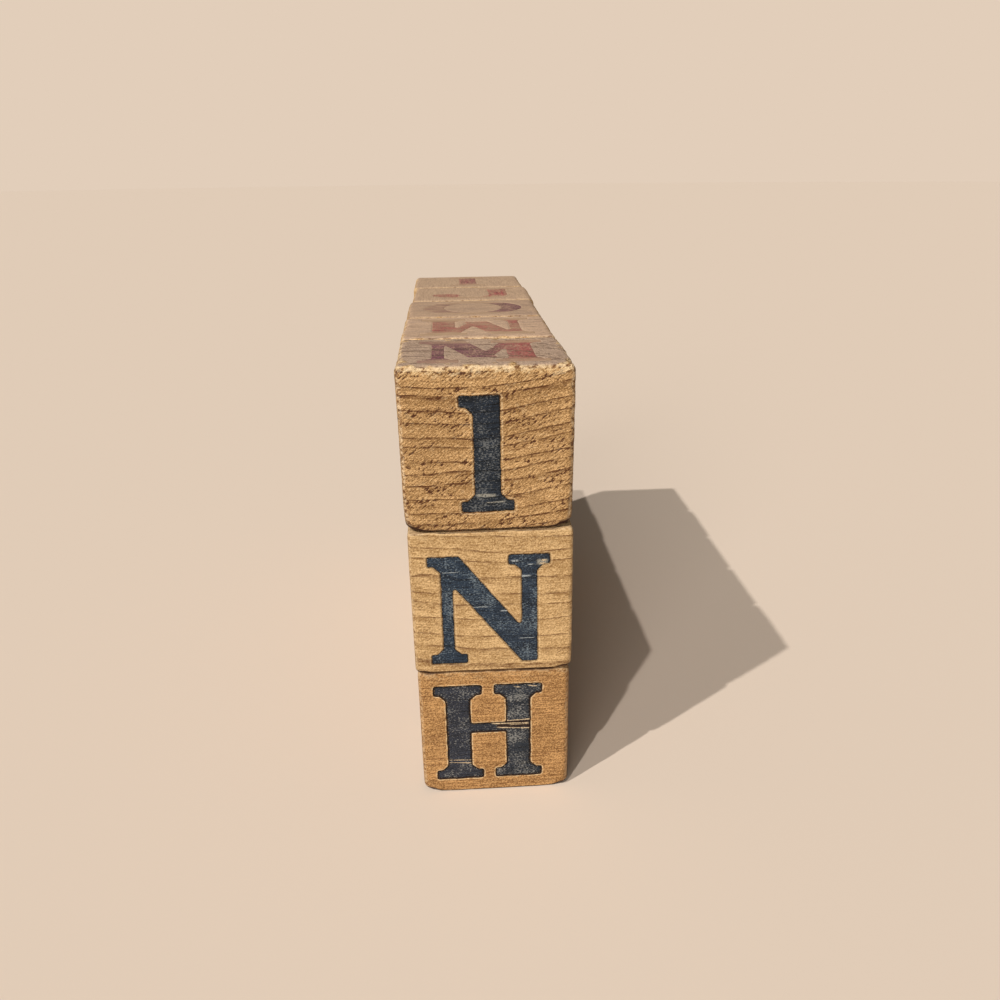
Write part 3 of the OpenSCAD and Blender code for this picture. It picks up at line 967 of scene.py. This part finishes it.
def make_world():
    """Even soft light from all sides. The camera sees the pale backdrop in its place."""
    world = bpy.data.worlds.new("studio_air")
    bpy.context.scene.world = world
    air = Finish(world)
    camera_ray = air.add("ShaderNodeLightPath", output="Is Camera Ray")
    light = air.add("ShaderNodeBackground", None, {"Color": AIR_LIGHT, "Strength": AIR_STRENGTH})
    shown = air.add("ShaderNodeBackground", None, {"Color": BACKDROP, "Strength": 1.0})
    both = air.add("ShaderNodeMixShader", None, {0: camera_ray, 1: light, 2: shown})
    air.add("ShaderNodeOutputWorld", None, {"Surface": both})


def add_lamp(name, azimuth, elevation, strength, softness, colour):
    """A lamp far away. Azimuth 0 is in front of the stack, and 90 to its right."""
    lamp = bpy.data.lights.new(name, "SUN")
    lamp.energy = strength
    lamp.angle = math.radians(softness)
    lamp.color = colour[:3]
    holder = bpy.data.objects.new(name, lamp)
    bpy.context.scene.collection.objects.link(holder)
    a, e = math.radians(azimuth), math.radians(elevation)
    away = Vector((math.sin(a) * math.cos(e), -math.cos(a) * math.cos(e), math.sin(e)))
    holder.rotation_euler = away.to_track_quat("Z", "Y").to_euler()


def make_camera():
    camera = bpy.data.cameras.new("camera")
    camera.sensor_width = SENSOR
    camera.lens = SENSOR * FOCAL_PX / PHOTO_SIDE_PX
    camera.clip_start, camera.clip_end = 0.01, 50
    holder = bpy.data.objects.new("camera", camera)
    bpy.context.scene.collection.objects.link(holder)
    turn = Matrix.Rotation(math.radians(CAMERA_YAW), 3, "Z")
    turn = turn @ Matrix.Rotation(math.radians(90 - CAMERA_PITCH), 3, "X")
    turn = turn @ Matrix.Rotation(math.radians(CAMERA_ROLL), 3, "Z")
    holder.rotation_euler = turn.to_euler()
    holder.location = Vector(CAMERA_AT) * MM
    bpy.context.scene.camera = holder


make_camera()
make_world()
make_stage()
for lamp_name, settings in LAMPS.items():
    add_lamp(lamp_name, *settings)

wood_finish = pine()
grey_fleck, pale_fleck, blue_fleck = srgb(112, 115, 116), srgb(152, 152, 148), srgb(122, 136, 146)
plain_dark = ink("dark_ink", srgb(46, 52, 62), srgb(48, 56, 70), blue_fleck, OUTLINE_SHADE)
dark_finishes = {
    "top_block_1": ink(
        "dark_ink_one", srgb(28, 35, 43), srgb(30, 38, 49), grey_fleck,
        OUTLINE_SHADE, MARKS_1, SCUFFS_1),
    "middle_block_1": ink(
        "dark_ink_n", srgb(38, 51, 66), srgb(42, 50, 62), blue_fleck,
        OUTLINE_SHADE, MARKS_N, SCUFFS_N),
    "bottom_block_1": ink(
        "dark_ink_h", srgb(38, 46, 52), srgb(44, 48, 58), pale_fleck,
        OUTLINE_SHADE, MARKS_H, SCUFFS_H),
}
red_finish = ink("red_ink", srgb(142, 44, 60), srgb(100, 52, 74), srgb(180, 144, 124))

body_of_node = {
    node: body for body, nodes in frame["record"]["behaviour"]["bodies"].items() for node in nodes}
for node in sorted(body_of_node):
    if node.endswith("_print"):
        continue
    block = Block(node, body_of_node[node])
    dark, red = prints = (node + "_dark_print", node + "_red_print")
    outlines = {}
    owners = {name: {} for name in prints}
    for face, name in itertools.product(FACES, prints):
        loops = outline_loops(name, block, face)
        if loops:
            loops = [ragged(resampled(filleted(loop), OUTLINE_STEP), block, face) for loop in loops]
            outlines[face] = owners[name][face] = loops
    make_block(block, outlines, wood_finish)
    make_ink(block, dark, owners[dark], dark_finishes.get(node, plain_dark))
    make_ink(block, red, owners[red], red_finish)

scene = bpy.context.scene
scene.view_settings.view_transform = "Standard"
